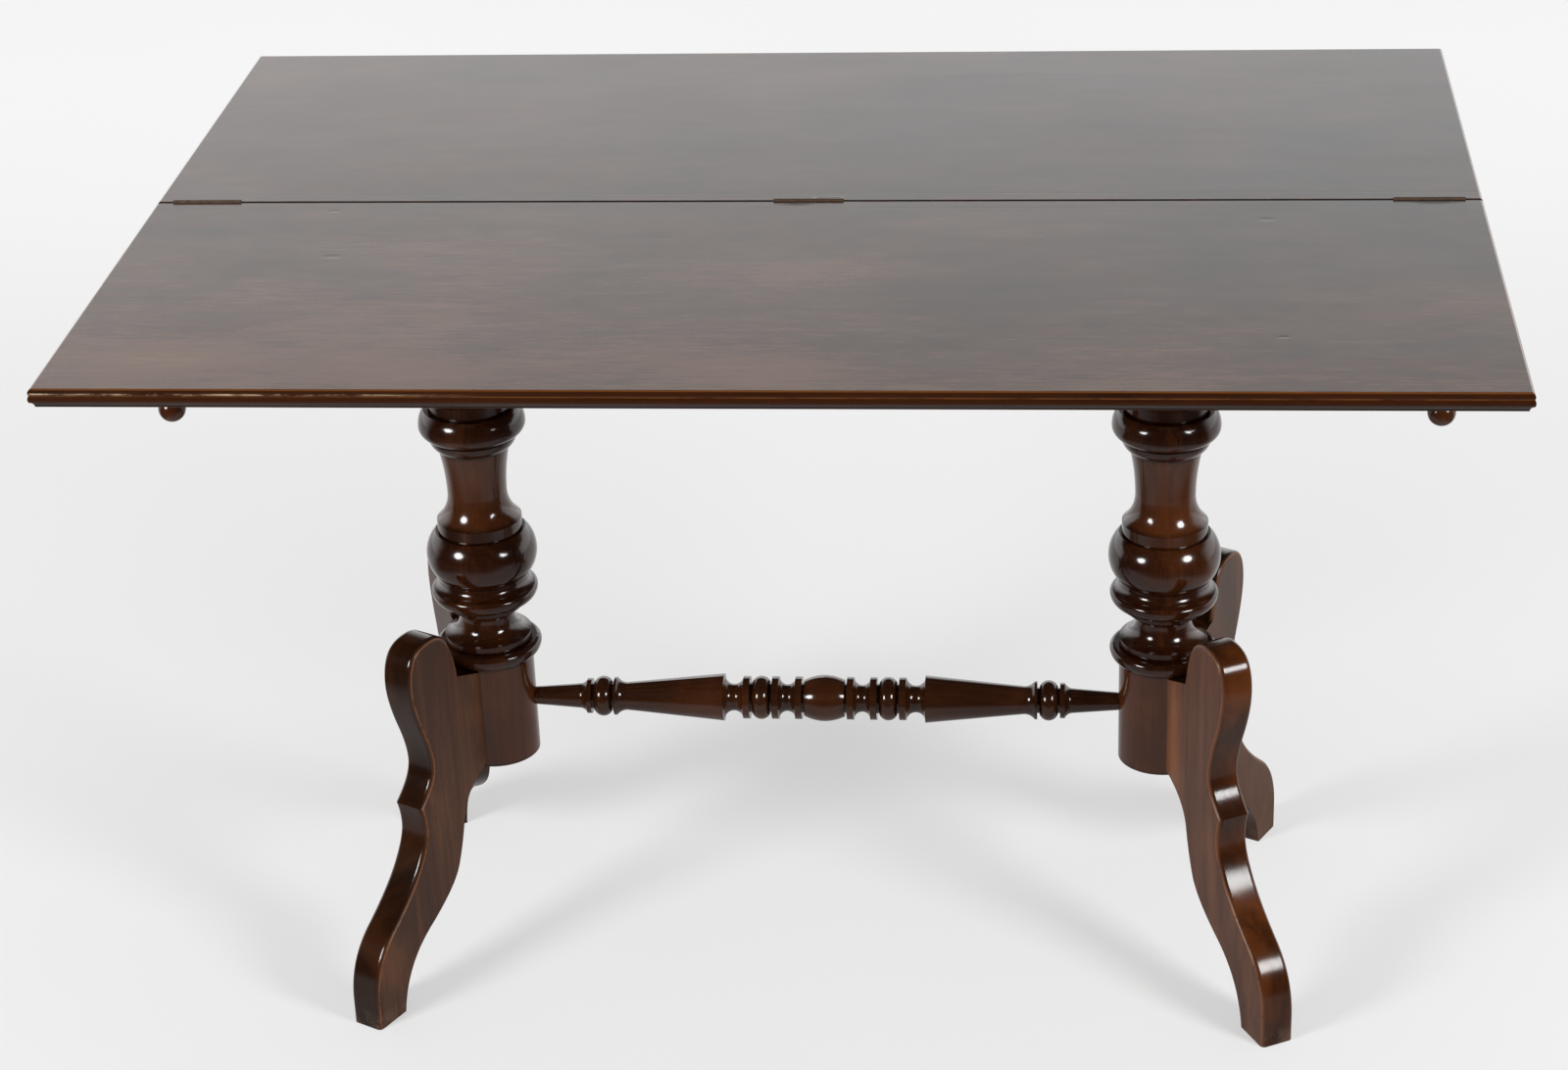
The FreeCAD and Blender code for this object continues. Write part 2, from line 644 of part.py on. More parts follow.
def leg_dowels(row, clearance):
    """The two dowels between the cylinder and its front or rear leg."""
    angle = math.radians(ROWS[row] * LEG_ANGLE)
    outwards = Vector(math.cos(angle), math.sin(angle), 0)
    start = outwards * (BASE_RADIUS - DOWEL_DEPTH_IN_COLUMN - clearance)
    heights = (COLUMN_CLEARANCE + DOWEL_END_MARGIN, base_top - DOWEL_END_MARGIN)
    length = DOWEL_LENGTH + 2 * clearance
    return [rod(DOWEL_RADIUS + clearance, start + UP * height, length, outwards) for height in heights]


def column():
    socket_end = Vector(BASE_RADIUS - STRETCHER_TENON_LENGTH - ROUND_FIT, 0, stretcher_height)
    socket = rod(STRETCHER_TENON_RADIUS + ROUND_FIT, socket_end, BASE_RADIUS, ALONG_X)
    holes = [socket] + leg_dowels("front", ROUND_FIT) + leg_dowels("rear", ROUND_FIT)
    return column_turning().cut(holes).Solids[0]


def beyond(handle, end):
    """Point well past the end of a line that starts at a handle."""
    step = Vector(end[0] - handle[0], 0, end[1] - handle[1])
    far = Vector(end[0], 0, end[1]) + step.normalize() * LEG_REACH
    return (far.x, far.z)


def head_outline():
    """Side view of a leg above its cusp, running on past the cusp: reach from the column axis."""
    root = math.sqrt(BASE_RADIUS ** 2 - (LEG_THICKNESS / 2) ** 2) - LEG_EDGE_ROUND
    corner = BASE_RADIUS + NOTCH_WIDTH
    swell = BASE_RADIUS + HEAD_SWELL
    throat = BASE_RADIUS + THROAT_WIDTH
    head = [(between(corner, swell, out), notch_level + HEAD_RISE * up) for out, up in HEAD_HANDLES]
    front = [(swell, between(cusp_height, notch_level, SWELL_HANDLE)),
             (throat, between(cusp_height, notch_level, THROAT_HANDLE)),
             (between(throat, cusp_x, CUSP_HANDLE), between(cusp_height, notch_level, CUSP_HANDLE))]
    past_cusp = beyond(front[-1], (cusp_x, cusp_height))
    outline = Outline(root, -LEG_REACH)
    outline.line(root, notch_level)
    outline.line(BASE_RADIUS, notch_level)
    outline.line(corner, notch_level + NOTCH_RISE)
    outline.curve(head + front + [(cusp_x, cusp_height)])
    outline.line(*past_cusp)
    outline.line(past_cusp[0], -LEG_REACH)
    return outline


def shin_outline():
    """Side view of a leg below its cusp, running on past the cusp: reach from the column axis."""
    root_height = COLUMN_CLEARANCE + LEG_ROOT_RISE
    heel = LEG_REACH - FOOT_DEPTH
    shin = [(between(cusp_x, LEG_REACH, out), cusp_height * up) for out, up in SHIN_HANDLES]
    back = [(between(BASE_RADIUS, heel, out), COLUMN_CLEARANCE * up) for out, up in BACK_HANDLES]
    past_cusp = beyond(shin[0], (cusp_x, cusp_height))
    outline = Outline(0, root_height)
    outline.line(0, past_cusp[1])
    outline.line(*past_cusp)
    outline.line(cusp_x, cusp_height)
    outline.curve(shin)
    outline.line(LEG_REACH, 0)
    outline.line(heel, 0)
    outline.curve(back + [(BASE_RADIUS, root_height)])
    return outline


def rounded_board(outline, front_lines):
    """Board sawn to an outline, with the arrises beside its front lines rounded over."""
    close = 0.01
    board = moved(outline.face().extrude(ALONG_Y * LEG_THICKNESS), ALONG_Y * (-LEG_THICKNESS / 2))
    chosen = []
    for edge in board.Edges:
        middle = edge.valueAt((edge.FirstParameter + edge.LastParameter) / 2)
        on_side = abs(abs(middle.y) - LEG_THICKNESS / 2) < close
        flat_middle = Part.Vertex(middle.x, 0, middle.z)
        if on_side and any(line.distToShape(flat_middle)[0] < close for line in front_lines):
            chosen.append(edge)
    return board.makeFillet(LEG_EDGE_ROUND, chosen)


def leg_board():
    """Leg sawn to its outline, its front arrises rounded and mitred at the cusp."""
    head = head_outline()
    shin = shin_outline()
    head_lines = head.edges[3:5]
    shin_lines = shin.edges[2:5]
    return rounded_board(head, head_lines).common(rounded_board(shin, shin_lines)).Solids[0]


def leg(board, row):
    """Leg on the front or rear side of a column, coped to the cylinder."""
    cylinder = rod(BASE_RADIUS + LEG_FIT, ORIGIN, TABLE_HEIGHT, UP)
    standing = rotated(board.cut(cylinder).Solids[0], UP, ROWS[row] * LEG_ANGLE)
    return standing.cut(leg_dowels(row, ROUND_FIT)).Solids[0]


def on_pedestal(shape, side):
    """A pedestal piece at the left column, or turned about for the right column."""
    facing = shape if side == "left" else rotated(shape, UP, 180)
    return moved(facing, ALONG_X * column_x * SIDES[side])


def make_pedestals():
    turned_column = column()
    board = leg_board()
    legs = {row: leg(board, row) for row in ROWS}
    turned_about = {"front": "rear", "rear": "front"}
    dowels = leg_dowels("front", 0) + leg_dowels("rear", 0)
    for side in SIDES:
        save(side + "_column", on_pedestal(turned_column, side))
        for row in ROWS:
            drawn = legs[row] if side == "left" else legs[turned_about[row]]
            save(row + "_" + side + "_leg", on_pedestal(drawn, side))
    save("leg_dowels", *[on_pedestal(dowel, side) for side in SIDES for dowel in dowels])


# Stretcher, drawn upright from its middle to one end

def stretcher_half():
    barrel_bow = between(BARREL_END_RADIUS, BARREL_RADIUS, OVOLO_BEND)
    members = [(Turning.bow, BARREL_HALF, barrel_bow, BARREL_END_RADIUS),
               (Turning.band, QUIRK_WIDTH, QUIRK_RADIUS, DISC_RADIUS),
               (Turning.straight, DISC_WIDTH, DISC_RADIUS),
               (Turning.bow, GROOVE_WIDTH, GROOVE_RADIUS, DISC_RADIUS),
               (Turning.straight, DISC_WIDTH, DISC_RADIUS),
               (Turning.band, QUIRK_WIDTH, QUIRK_RADIUS, BEAD_END_RADIUS),
               (Turning.bow, BEAD_WIDTH, BEAD_RADIUS, BEAD_END_RADIUS),
               (Turning.band, QUIRK_WIDTH, QUIRK_RADIUS, DISC_RADIUS),
               (Turning.straight, DISC_WIDTH, DISC_RADIUS),
               (Turning.bow, OUTER_GROOVE_WIDTH, GROOVE_RADIUS, TAPER_RADIUS),
               (Turning.straight, TAPER_LENGTH, TAPER_TIP_RADIUS),
               (Turning.hollow, LIP_LENGTH, LIP_RADIUS),
               (Turning.straight, LIP_EDGE, LIP_RADIUS),
               (Turning.band, QUIRK_WIDTH, OUTER_QUIRK_RADIUS, OUTER_BEAD_END_RADIUS),
               (Turning.bow, OUTER_BEAD_WIDTH, OUTER_BEAD_RADIUS, OUTER_BEAD_END_RADIUS),
               (Turning.band, QUIRK_WIDTH, OUTER_QUIRK_RADIUS, CUFF_RADIUS),
               (Turning.straight, CUFF_EDGE, CUFF_RADIUS),
               (Turning.hollow, CUFF_LENGTH, SHANK_RADIUS),
               (Turning.straight, SHANK_LENGTH, SHANK_TIP_RADIUS)]
    shoulder = column_x - BASE_RADIUS - LEG_FIT
    tenon_end = column_x - BASE_RADIUS + STRETCHER_TENON_LENGTH
    outline = Turning(0, 0)
    outline.line(BARREL_RADIUS, 0)
    outline.fill(members, shoulder)
    outline.line(STRETCHER_TENON_RADIUS, shoulder)
    outline.line(STRETCHER_TENON_RADIUS, tenon_end)
    outline.line(0, tenon_end)
    return outline.solid()


def make_stretcher():
    half = stretcher_half()
    lying = rotated(half, ALONG_Y, 90).fuse(rotated(half, ALONG_Y, -90)).removeSplitter()
    save("stretcher", moved(lying.Solids[0], UP * stretcher_height))


os.makedirs("parts", exist_ok=True)
make_leaves()
make_hinges()
make_runners()
make_frame()
make_bearers()
make_pedestals()
make_stretcher()
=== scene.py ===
import math

import bmesh
import bpy
from mathutils import Matrix, Vector

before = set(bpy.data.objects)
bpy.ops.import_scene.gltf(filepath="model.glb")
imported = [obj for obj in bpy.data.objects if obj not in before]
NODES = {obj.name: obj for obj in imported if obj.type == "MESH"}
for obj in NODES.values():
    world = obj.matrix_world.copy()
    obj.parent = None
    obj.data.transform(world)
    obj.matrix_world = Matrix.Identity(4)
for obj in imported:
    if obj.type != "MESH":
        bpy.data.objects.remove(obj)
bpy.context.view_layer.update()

# Words in the names of the pieces that come in rows and pairs
ROWS = ("front", "rear")
SIDES = ("left", "right")

# Axes that grain can run along
ACROSS, DEEP, UPRIGHT = range(3)

# Places on the table and half sizes of a leaf's thickness and of the joint, in metres
TABLE_HEIGHT = 0.768
LEAF_HALF = 0.0085
LEAF_MIDDLE = TABLE_HEIGHT - LEAF_HALF
CREASE_HEIGHT = 0.7622
COVE_HEIGHT = 0.7560
JOINT_HALF = 0.0008
COLUMN_X = 0.326

# Degrees from the stretcher to a leg, and the turn of each pedestal
LEG_ANGLE = 118.0
PEDESTAL_TURN = {"left": 0.0, "right": 180.0}

# Camera, solved from the photograph: place in metres, turns in degrees, lens in millimetres
CAMERA_PLACE = (0.2647, -2.9276, 1.8707)
CAMERA_YAW = 5.826
CAMERA_PITCH = 26.085
CAMERA_ROLL = -2.206
CAMERA_LENS = 79.1
CAMERA_SENSOR = 36.0

# Sockets of a Mix node that hold colours
MIX_FIRST, MIX_SECOND, MIX_RESULT = 6, 7, 2


class Flow:
    """A value in a node tree that can be used in sums."""

    def __init__(self, graph, socket):
        self.graph = graph
        self.socket = socket

    def __add__(self, other):
        return self.graph.math("ADD", self, other)

    def __radd__(self, other):
        return self.graph.math("ADD", other, self)

    def __sub__(self, other):
        return self.graph.math("SUBTRACT", self, other)

    def __rsub__(self, other):
        return self.graph.math("SUBTRACT", other, self)

    def __mul__(self, other):
        return self.graph.math("MULTIPLY", self, other)

    def __rmul__(self, other):
        return self.graph.math("MULTIPLY", other, self)

    def __truediv__(self, other):
        return self.graph.math("DIVIDE", self, other)

    def __rtruediv__(self, other):
        return self.graph.math("DIVIDE", other, self)

    def __pow__(self, other):
        return self.graph.math("POWER", self, other)

    def __rpow__(self, other):
        return self.graph.math("POWER", other, self)

    def __abs__(self):
        return self.graph.math("ABSOLUTE", self)

    def most(self, other):
        return self.graph.math("MAXIMUM", self, other)

    def step(self, start, end):
        """0 before start, 1 after end, smooth between; start may be above end."""
        low, high, ends = (start, end, (0.0, 1.0)) if start < end else (end, start, (1.0, 0.0))
        inputs = {"Value": self, "From Min": low, "From Max": high, "To Min": ends[0], "To Max": ends[1]}
        return self.graph.output("ShaderNodeMapRange", 0, inputs, interpolation_type="SMOOTHSTEP")

    def band(self, middle, half):
        """1 at the middle, falling to 0 at a half width on either side."""
        return abs(self - middle).step(half, 0.0)


class Graph:
    """Node tree of a material or the world."""

    def __init__(self, tree):
        self.tree = tree
        tree.nodes.clear()

    def make(self, kind, inputs=None, **settings):
        """A new node: first its settings, then the values or links of its inputs."""
        node = self.tree.nodes.new(kind)
        for name, value in settings.items():
            setattr(node, name, value)
        for key, value in (inputs or {}).items():
            socket = node.inputs[key]
            if isinstance(value, Flow):
                self.tree.links.new(value.socket, socket)
            else:
                socket.default_value = value
        return node

    def output(self, kind, output, inputs=None, **settings):
        """One output of a new node."""
        return Flow(self, self.make(kind, inputs, **settings).outputs[output])

    def math(self, operation, first, second=0.0):
        return self.output("ShaderNodeMath", 0, {0: first, 1: second}, operation=operation)

    def place(self):
        return self.output("ShaderNodeTexCoord", "Object")

    def facing(self):
        return self.output("ShaderNodeTexCoord", "Normal")

    def parts(self, vector):
        node = self.make("ShaderNodeSeparateXYZ", {0: vector})
        return [Flow(self, output) for output in node.outputs]

    def scaled(self, vector, scale):
        return self.output("ShaderNodeVectorMath", 0, {0: vector, 1: scale}, operation="MULTIPLY")

    def shifted(self, vector, offset):
        return self.output("ShaderNodeVectorMath", 0, {0: vector, 1: offset}, operation="ADD")

    def along(self, vector, direction):
        """How far a vector goes in a direction."""
        inputs = {0: vector, 1: direction}
        return self.output("ShaderNodeVectorMath", "Value", inputs, operation="DOT_PRODUCT")

    def rays(self):
        """Two values: 1 for what the camera sees straight, and 1 for what the polish reflects."""
        path = self.make("ShaderNodeLightPath")
        return [Flow(self, path.outputs[name]) for name in ("Is Camera Ray", "Is Glossy Ray")]

    def noise(self, vector, scale, detail, roughness, distortion=0.0, stretch=None):
        """Noise from 0 to 1; a low number for an axis in stretch draws it out along that axis."""
        if stretch:
            vector = self.scaled(vector, stretch)
        inputs = {"Vector": vector, "Scale": scale, "Detail": detail, "Roughness": roughness,
                  "Distortion": distortion}
        return self.output("ShaderNodeTexNoise", "Fac", inputs)

    def mix(self, share, first, second):
        """Blend of two colours."""
        inputs = {0: share}
        for key, colour in ((MIX_FIRST, first), (MIX_SECOND, second)):
            inputs[key] = colour if isinstance(colour, Flow) else (*colour, 1.0)
        return self.output("ShaderNodeMix", MIX_RESULT, inputs, data_type="RGBA", clamp_factor=True)

    def bump(self, height, strength, distance):
        inputs = {"Height": height, "Strength": strength, "Distance": distance}
        return self.output("ShaderNodeBump", 0, inputs)


def finish_surface(graph, inputs, cover=0.0, cover_inputs=None):
    """Surface of a material, and where wanted a second surface that covers a share of it."""
    surface = graph.output("ShaderNodeBsdfPrincipled", 0, inputs)
    if cover_inputs:
        second = graph.output("ShaderNodeBsdfPrincipled", 0, cover_inputs)
        surface = graph.output("ShaderNodeMixShader", 0, {0: cover, 1: surface, 2: second})
    graph.make("ShaderNodeOutputMaterial", {0: surface})


def new_material(name):
    material = bpy.data.materials.new(name)
    material.use_nodes = True
    return material, Graph(material.node_tree)


# Wood in general

GRAIN_STRETCH = 0.045
PORE_SHIFT = (3.1, 1.7, 5.3)
VARNISH_IOR = 1.5


def grain(graph, place, axis):
    """Figure, fine lines and pores of wood whose grain runs along an axis: values from 0 to 1."""
    stretch = [1.0, 1.0, 1.0]
    stretch[axis] = GRAIN_STRETCH
    run = graph.scaled(place, stretch)
    figure = graph.noise(run, scale=26.0, detail=5.0, roughness=0.6, distortion=0.6)
    lines = graph.noise(run, scale=240.0, detail=3.0, roughness=0.6)
    pores = graph.noise(graph.shifted(run, PORE_SHIFT), scale=900.0, detail=2.0, roughness=0.5)
    return figure, lines, pores


def wood_colour(graph, grain_values, tones):
    """Colour of polished wood from its grain and its dark, middle and light tones."""
    figure, lines, pores = grain_values
    dark, middle, light = tones
    tone = figure * 0.72 + lines * 0.28
    low = graph.mix(tone.step(0.28, 0.50), dark, middle)
    high = graph.mix(tone.step(0.48, 0.74), low, light)
    return graph.mix(pores.step(0.60, 0.72) * 0.55, high, dark)


def distance(across, deep):
    return (across * across + deep * deep) ** 0.5


# Flat of the top: colours of its polish from grey to orange, and of what is worn into it

POLISH_GREY = (0.019, 0.0170, 0.0165)
POLISH_BROWN = (0.060, 0.030, 0.0210)
POLISH_WARM = (0.135, 0.068, 0.0450)
POLISH_ORANGE = (0.220, 0.112, 0.0450)
PORE_COLOUR = (0.012, 0.007, 0.005)
FLAKE_COLOUR = (0.30, 0.21, 0.140)
BRUISE_COLOUR = (0.050, 0.036, 0.0300)

# Tone of the polish: its level, its fall in a metre to the right and back, its rise behind the joint
TONE_LEVEL = -1.150
TONE_ACROSS = 0.15
TONE_DEEP = 0.54
TONE_BEHIND = 0.70

# What a warm patch adds to the tone, and what a grey patch and the seam of the lipping take from it
WARM_PATCH_TONE = 0.24
GREY_PATCH_TONE = 0.18
SEAM_TONE = 0.22

# Marks on the top: middle across and deep, half length, half depth
DENTS = [(-0.411, -0.136, 0.013, 0.007), (-0.432, -0.024, 0.009, 0.004),
         (0.410, -0.049, 0.012, 0.006), (0.413, -0.316, 0.008, 0.004)]
WARM_PATCHES = [(-0.500, -0.362, 0.120, 0.060), (-0.300, -0.395, 0.110, 0.040),
                (-0.010, -0.395, 0.130, 0.050), (0.010, -0.170, 0.120, 0.070)]
GREY_PATCHES = [(0.170, -0.250, 0.150, 0.110), (-0.235, -0.330, 0.060, 0.050),
                (0.460, 0.160, 0.110, 0.070)]
BRUISES = [(-0.010, -0.010, 0.022, 0.007), (0.560, -0.009, 0.030, 0.009)]
FLAKE = (0.018, 0.0065, 0.013, 0.0042)
FLAKE_RIM = 0.22


def inside(x, y, mark):
    """Distance from the middle of an oval mark: 0 in its middle, 1 on its rim."""
    across, deep, half_length, half_depth = mark
    return distance((x - across) / half_length, (y - deep) / half_depth)


def marks(x, y, places):
    """Soft oval marks: 1 in the middle of a mark, 0 outside."""
    return sum(inside(x, y, mark).step(1.0, 0.0) for mark in places)


def top_tone(graph, place, x, y, figure, lines):
    """How warm the polish of the flat top is: below 0 grey, about 1 orange."""
    cloud = graph.noise(place, scale=7.5, detail=3.0, roughness=0.52, distortion=0.3,
                        stretch=(0.9, 1.4, 1.0))
    mottle = graph.noise(place, scale=62.0, detail=4.0, roughness=0.62, distortion=0.2,
                         stretch=(0.45, 1.4, 1.0))
    fibre = graph.noise(place, scale=330.0, detail=3.0, roughness=0.6, stretch=(0.14, 1.0, 1.0))
    broad = graph.noise(place, scale=2.3, detail=2.0, roughness=0.5)
    tone = cloud * 0.54 + mottle * 0.30 + fibre * 0.62 + broad * 0.40 + figure * 0.26 + lines * 0.42
    tone = tone + TONE_LEVEL
    tone = tone - x * TONE_ACROSS - y * TONE_DEEP + y.most(0.0) * TONE_BEHIND
    tone = tone + marks(x, y, WARM_PATCHES) * WARM_PATCH_TONE
    return tone - marks(x, y, GREY_PATCHES) * GREY_PATCH_TONE


def flat_colour(graph, tone, pores):
    low = graph.mix(tone.step(-0.15, 0.28), POLISH_GREY, POLISH_BROWN)
    high = graph.mix(tone.step(0.12, 0.55), low, POLISH_WARM)
    high = graph.mix(tone.step(0.55, 1.00), high, POLISH_ORANGE)
    return graph.mix(pores.step(0.62, 0.74) * 0.35, high, PORE_COLOUR)


# Moulded edge of the top: colours, with a painted shade for its cove

EDGE_TONES = ((0.013, 0.0036, 0.0011), (0.036, 0.0092, 0.0018), (0.072, 0.0200, 0.0038))
ARRIS_WEAR_AND_HIGHLIGHT_COLOUR = (0.190, 0.064, 0.0130)
PAINTED_COVE_SHADE_COLOUR = (0.007, 0.0028, 0.0016)
EDGE_RUB_AND_HIGHLIGHT_COLOUR = (0.62, 0.47, 0.300)

# Lines of the edge, height and half width: the arris worn lighter, the crease worn and painted lighter
# as a highlight, and the rubbed line above it a painted highlight on rubbed polish
EDGE_ARRIS = (TABLE_HEIGHT - 0.0004, 0.0010)
CREASE = (CREASE_HEIGHT, 0.0007)
EDGE_RUB_AND_HIGHLIGHT = (CREASE_HEIGHT + 0.0016, 0.0012)

# Where the rubbed line of the edge with its painted highlight, across, and the painted shade of its
# cove, in height, begin and are full
EDGE_RUB_AND_HIGHLIGHT_REACH = (-0.22, -0.40)
COVE_SHADE = (COVE_HEIGHT + 0.0004, COVE_HEIGHT - 0.0010)


def edge_colour(graph, place, x, z, grain_values):
    """Moulded edge: red-brown, its arris lighter and its crease rubbed pale at the left, as wear with
    painted highlights, and a painted shade in its cove.
    """
    edge = wood_colour(graph, grain_values, EDGE_TONES)
    rubbing_and_glint = graph.noise(place, scale=26.0, detail=5.0, roughness=0.72, stretch=(1.0, 1.0, 3.0))
    # The arris is worn lighter; the crease is worn and painted lighter as a highlight
    arris = z.band(*EDGE_ARRIS) + z.band(*CREASE) * rubbing_and_glint.step(0.30, 0.62)
    edge = graph.mix(arris * 0.8, edge, ARRIS_WEAR_AND_HIGHLIGHT_COLOUR)
    # Painted shade: the cove under the nosing is darkened nearly to black
    edge = graph.mix(z.step(*COVE_SHADE) * 0.8, edge, PAINTED_COVE_SHADE_COLOUR)
    # Painted highlight: a pale line of rubbed polish above the crease, strongest at the left
    rubbed = z.band(*EDGE_RUB_AND_HIGHLIGHT) * rubbing_and_glint.step(0.40, 0.62) * x.step(*EDGE_RUB_AND_HIGHLIGHT_REACH)
    return graph.mix(rubbed * 0.85, edge, EDGE_RUB_AND_HIGHLIGHT_COLOUR)


# Leaves: where the edge, the upper side and the dull line of the joint begin and are full

EDGE_START = (LEAF_HALF - 0.00005, LEAF_HALF - 0.0004)
UPPER_START = (TABLE_HEIGHT - 0.006, TABLE_HEIGHT - 0.001)
JOINT_LINE = (JOINT_HALF + 0.0022, JOINT_HALF + 0.0008)

# Seam of the lipping and rubbed line behind the joint: distance from the joint and half width
LIPPING_SEAM = (0.0185, 0.0016)
RUBBED_JOINT = (JOINT_HALF + 0.0028, 0.0012)

# Colours and shine of the joint and of the polish
RUBBED_JOINT_COLOUR = (0.190, 0.070, 0.0220)
CRACK_COLOUR = (0.006, 0.0030, 0.0020)
SPLINTER_COLOUR = (0.040, 0.0150, 0.0056)
POLISH_ROUGHNESS = 0.15
POLISH_IOR = 1.6
CRACK_ROUGHNESS = 0.8
CRACK_SHINE = 0.1


def top_wood():
    """Polished leaves: soft clouds in the polish, fine grain along the joint, a moulded edge."""
    material, graph = new_material("top_wood")
    place = graph.place()
    x, y, z = graph.parts(place)
    figure, lines, pores = grain(graph, place, ACROSS)
    from_joint = abs(y)
    seam = from_joint.band(*LIPPING_SEAM)
    tone = top_tone(graph, place, x, y, figure, lines) - seam * SEAM_TONE
    colour = flat_colour(graph, tone, pores)
    on_edge = abs(z - LEAF_MIDDLE).step(*EDGE_START)
    colour = graph.mix(on_edge, colour, edge_colour(graph, place, x, z, (figure, lines, pores)))
    upper = z.step(*UPPER_START)
    joint = from_joint.step(*JOINT_LINE) * upper
    splinter = graph.noise(place, scale=420.0, detail=3.0, roughness=0.65, stretch=(0.10, 1.0, 1.0))
    rubbed = y.band(*RUBBED_JOINT) * splinter.step(0.40, 0.58)
    colour = graph.mix(rubbed * 0.8, colour, RUBBED_JOINT_COLOUR)
    crack = graph.mix(splinter.step(0.45, 0.70), CRACK_COLOUR, SPLINTER_COLOUR)
    flake = inside(x, y, FLAKE).band(1.0, FLAKE_RIM) * upper
    bruise = marks(x, y, BRUISES) * upper
    dent = marks(x, y, DENTS) * upper
    colour = graph.mix(flake * 0.7, colour, FLAKE_COLOUR)
    colour = graph.mix(bruise * 0.5 + dent * 0.3, colour, BRUISE_COLOUR)
    haze = graph.noise(place, scale=9.0, detail=4.0, roughness=0.6, stretch=(0.6, 1.0, 1.0))
    roughness = POLISH_ROUGHNESS + haze * 0.08 + lines * 0.04 - on_edge * 0.05 + (bruise + flake) * 0.15
    ripple = graph.noise(place, scale=15.0, detail=2.0, roughness=0.5, stretch=(0.5, 1.0, 1.0))
    height = (lines + pores) * 0.08 + ripple * 0.9 - dent * 0.55 + flake * 0.8 - bruise * 0.5
    height = height + joint * splinter * 0.5 - seam * 0.10
    finish_surface(graph, {"Base Color": colour, "Roughness": roughness, "IOR": POLISH_IOR,
                           "Normal": graph.bump(height, strength=0.30, distance=0.0006)},
                   joint, {"Base Color": crack, "Roughness": CRACK_ROUGHNESS,
                           "Specular IOR Level": CRACK_SHINE})
    return material


# Turnings: dark, middle and light tone of each, and two tones of rubbed wood, also used as a painted
# sheen

COLUMN_TONES = ((0.007, 0.0020, 0.0009), (0.019, 0.0048, 0.0015), (0.054, 0.0150, 0.0040))
STRETCHER_TONES = ((0.009, 0.0026, 0.0010), (0.022, 0.0062, 0.0020), (0.050, 0.0160, 0.0048))
DROP_TONES = ((0.018, 0.0046, 0.0014), (0.046, 0.0120, 0.0032), (0.085, 0.0260, 0.0070))
RUBBED_AND_SHEEN_TURNING_TONES = ((0.064, 0.0172, 0.0044), (0.122, 0.0370, 0.0105))
TURNED_ROUGHNESS = 0.085

# Cylinder and neck of a column, which a painted sheen lightens: middle height and half height, and how
# softly they end
SHEEN_STRETCHES = ((0.249, 0.053), (0.486, 0.037))
STRETCH_END = 0.004


def turned_wood(name, axis, tones, sheen_stretches=()):
    """Glossy turned wood: grain along the axis of the turning, clouded and a little rubbed, with a
    painted sheen on the cylinder and neck of a column.
    """
    material, graph = new_material(name)
    place = graph.place()
    z = graph.parts(place)[UPRIGHT]
    figure, lines, pores = grain(graph, place, axis)
    colour = wood_colour(graph, (figure, lines, pores), tones)
    cloud = graph.noise(place, scale=13.0, detail=3.0, roughness=0.55, distortion=0.3)
    rubbed = graph.mix(lines, *RUBBED_AND_SHEEN_TURNING_TONES)
    share = cloud.step(0.44, 0.74) * 0.35
    # Painted sheen: the cylinder and neck are lightened towards the rubbed tones
    for middle, half in sheen_stretches:
        share = share + abs(z - middle).step(half, half - STRETCH_END) * 0.42
    colour = graph.mix(share, colour, rubbed)
    smear = graph.noise(place, scale=34.0, detail=4.0, roughness=0.6)
    ripple = graph.noise(place, scale=60.0, detail=2.0, roughness=0.5)
    roughness = TURNED_ROUGHNESS + smear * 0.07 + lines * 0.03
    height = lines * 0.10 + pores * 0.06 + ripple * 0.7
    finish_surface(graph, {"Base Color": colour, "Roughness": roughness, "IOR": VARNISH_IOR,
                           "Normal": graph.bump(height, strength=0.16, distance=0.0005)})
    return material


# Legs: tones of the sides and of the front, and the orange in the sides, each as a darker painted shaded
# copy (left) and a lighter painted lit copy (right) of the same wood

LEG_SHADED_AND_LIT_TONES = {"left": ((0.020, 0.0068, 0.0028), (0.044, 0.0150, 0.0058), (0.090, 0.0330, 0.0125)),
             "right": ((0.040, 0.0150, 0.0086), (0.082, 0.0325, 0.0180), (0.148, 0.0610, 0.0320))}
FRONT_SHADED_AND_LIT_TONES = {"left": ((0.012, 0.0042, 0.0018), (0.040, 0.0125, 0.0040)),
               "right": ((0.024, 0.0070, 0.0022), (0.105, 0.0280, 0.0056))}
ORANGE_SHADED_AND_LIT_TONES = {"left": (0.175, 0.062, 0.0190), "right": (0.220, 0.086, 0.0360)}
LEG_ARRIS_COLOUR = (0.26, 0.090, 0.024)
CHIP_COLOUR = (0.010, 0.004, 0.002)
FOOT_COLOUR = (0.13, 0.075, 0.045)
LEG_ROUGHNESS = 0.11
LEG_IOR = 1.4

# Ring of orange about the column: radius and half width; height where soil on a foot begins and is full
ROOT_RING = (0.056, 0.018)
FOOT_SOIL = (0.022, 0.003)

# Turn of the surface from 0 on a leg's front to 1 on its sides: where front and satin begin and are full
FRONT_TURN = (0.75, 0.20)
SATIN_TURN = (0.35, 0.95)

# The same turn: middle and half width of the rubbed arris and of the chips
ARRIS_TURN = (0.88, 0.11)
CHIP_TURN = (0.75, 0.3)


